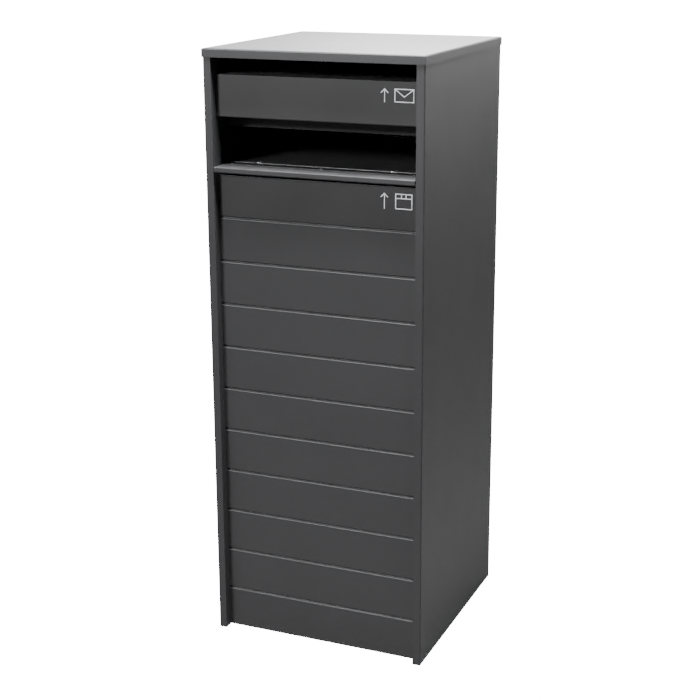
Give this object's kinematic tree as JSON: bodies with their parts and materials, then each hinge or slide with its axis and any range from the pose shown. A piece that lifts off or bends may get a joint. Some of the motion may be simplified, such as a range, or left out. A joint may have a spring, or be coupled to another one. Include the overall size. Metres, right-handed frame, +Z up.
{
  "type": "letter and parcel box",
  "caption": "Free-standing sheet-steel letter and parcel box: slot under a flat cover, wide mouth with a sprung drop flap over a grooved front, and locking rear doors.",
  "frame": {"origin": "middle of the footprint, on the floor", "axes": "+Z up, front face with the slot and the mouth towards -Y, doors towards +Y, +X to the right seen from the front"},
  "size_m": [0.4, 0.403, 1.064],
  "materials": {
    "charcoal_powder_coat": "satin, fine orange-peel powder coat",
    "zinc_plated_steel": "zinc plated, satin",
    "spring_steel": "drawn wire, satin",
    "chromed_lock": "polished",
    "black_rubber": "matte",
    "black_foam_rubber": "matte closed-cell foam",
    "white_vinyl": "thin printed film"
  },
  "bodies": {
    "cabinet": {"side_panel_left": "charcoal_powder_coat", "side_panel_right": "charcoal_powder_coat", "front_jamb_left": "charcoal_powder_coat", "front_jamb_right": "charcoal_powder_coat", "rear_jamb_left": "charcoal_powder_coat", "rear_jamb_right": "charcoal_powder_coat", "top_cover": "charcoal_powder_coat", "cover_studs": "zinc_plated_steel", "cover_nuts": "zinc_plated_steel", "base_plate": "charcoal_powder_coat", "base_angles": "charcoal_powder_coat", "parcels_front_panel": "charcoal_powder_coat", "letters_front_panel": "charcoal_powder_coat", "letters_floor": "charcoal_powder_coat", "parcel_sill": "charcoal_powder_coat", "sill_brackets": "charcoal_powder_coat", "rear_top_rail": "charcoal_powder_coat", "rear_middle_rail": "charcoal_powder_coat", "rear_bottom_rail": "charcoal_powder_coat", "flap_hinge_fixed_leaf": "charcoal_powder_coat", "flap_hinge_pin": "zinc_plated_steel", "flap_hinge_rivets": "zinc_plated_steel", "flap_springs": "spring_steel", "flap_stop_brackets": "charcoal_powder_coat", "flap_stop_bumpers": "black_rubber", "front_panel_rivets": "charcoal_powder_coat", "letters_panel_rivets": "charcoal_powder_coat", "letters_floor_rivets": "charcoal_powder_coat", "rail_rivets": "charcoal_powder_coat", "base_rivets": "charcoal_powder_coat", "letters_symbol": "white_vinyl", "parcels_symbol": "white_vinyl", "letters_door_seal": "black_foam_rubber", "parcels_door_seal": "black_foam_rubber", "letters_hinge_fixed_leaves": "zinc_plated_steel", "letters_hinge_pins": "zinc_plated_steel", "parcels_hinge_fixed_leaves": "zinc_plated_steel", "parcels_hinge_pins": "zinc_plated_steel"},
    "flap": {"drop_flap": "charcoal_powder_coat", "flap_hinge_moving_leaf": "charcoal_powder_coat", "flap_spring_arms": "spring_steel"},
    "letters_door": {"letters_door": "charcoal_powder_coat", "letters_hinge_door_leaves": "zinc_plated_steel", "letters_hinge_rivets": "zinc_plated_steel", "letters_lock_body": "chromed_lock", "letters_lock_nut": "zinc_plated_steel"},
    "parcels_door": {"parcels_door": "charcoal_powder_coat", "parcels_door_stiffener": "charcoal_powder_coat", "parcels_hinge_door_leaves": "zinc_plated_steel", "parcels_hinge_rivets": "zinc_plated_steel", "parcels_lock_body": "chromed_lock", "parcels_lock_nut": "zinc_plated_steel"},
    "letters_lock": {"letters_lock_plug": "chromed_lock", "letters_lock_cam": "zinc_plated_steel", "letters_lock_screw": "zinc_plated_steel"},
    "parcels_lock": {"parcels_lock_plug": "chromed_lock", "parcels_lock_cam": "zinc_plated_steel", "parcels_lock_screw": "zinc_plated_steel"}
  },
  "joints": [
    {"name": "parcel_flap_drop", "type": "hinge", "parent": "cabinet", "child": "flap", "pos_m": [0, -0.1425, 0.8649], "axis": [-1, 0, 0], "range_deg": [0, 75], "stiffness_Nm_per_rad": 1.2, "springref_deg": -114.59},
    {"name": "letters_door_swing", "type": "hinge", "parent": "cabinet", "child": "letters_door", "pos_m": [0.1809, 0.1954, 0.9936], "axis": [0, 0, -1], "range_deg": [0, 110]},
    {"name": "parcels_door_swing", "type": "hinge", "parent": "cabinet", "child": "parcels_door", "pos_m": [0.1809, 0.1954, 0.4766], "axis": [0, 0, -1], "range_deg": [0, 110]},
    {"name": "letters_lock_turn", "type": "hinge", "parent": "letters_door", "child": "letters_lock", "pos_m": [-0.15005, 0.1922, 0.9996], "axis": [0, 1, 0], "range_deg": [0, 90]},
    {"name": "parcels_lock_turn", "type": "hinge", "parent": "parcels_door", "child": "parcels_lock", "pos_m": [-0.15005, 0.1922, 0.56], "axis": [0, 1, 0], "range_deg": [0, 90]}
  ]
}
